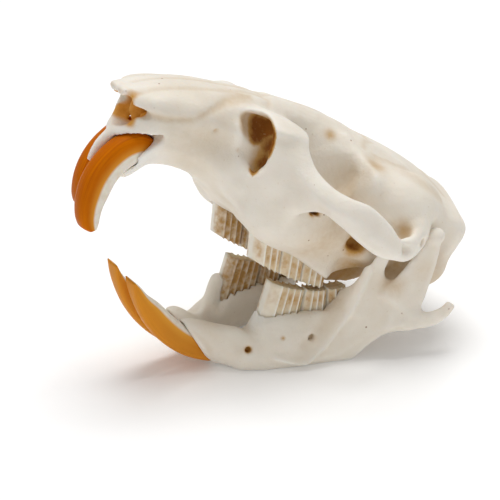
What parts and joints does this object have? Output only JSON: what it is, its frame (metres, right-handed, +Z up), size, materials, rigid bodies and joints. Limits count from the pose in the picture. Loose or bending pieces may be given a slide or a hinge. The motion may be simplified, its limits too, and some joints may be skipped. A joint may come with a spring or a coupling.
{
  "type": "muskrat skull",
  "caption": "Dry rodent skull with arched cheek bones, long orange incisors, ridged cheek teeth and lower jaw set in place under the cranium.",
  "frame": {"origin": "bottom centre of the bounding box, on the plane that the lower jaw rests on", "axes": "nose points to -X, the skull's left side is -Y, +Z is up; the XZ plane is the skull's plane of symmetry"},
  "size_m": [0.059, 0.0392, 0.0445],
  "materials": {
    "bone": "dry, chalky ivory bone",
    "incisor_enamel": "glossy deep orange enamel over pale dentine",
    "cheek_tooth": "satin cream and tan tooth columns"
  },
  "bodies": {
    "root": {"cranium": "bone", "mandible_left": "bone", "mandible_right": "bone", "upper_incisor_left": "incisor_enamel", "upper_incisor_right": "incisor_enamel", "lower_incisor_left": "incisor_enamel", "lower_incisor_right": "incisor_enamel", "upper_molar_left_1": "cheek_tooth", "upper_molar_left_2": "cheek_tooth", "upper_molar_left_3": "cheek_tooth", "upper_molar_right_1": "cheek_tooth", "upper_molar_right_2": "cheek_tooth", "upper_molar_right_3": "cheek_tooth", "lower_molar_left_1": "cheek_tooth", "lower_molar_left_2": "cheek_tooth", "lower_molar_left_3": "cheek_tooth", "lower_molar_right_1": "cheek_tooth", "lower_molar_right_2": "cheek_tooth", "lower_molar_right_3": "cheek_tooth"}
  },
  "joints": []
}
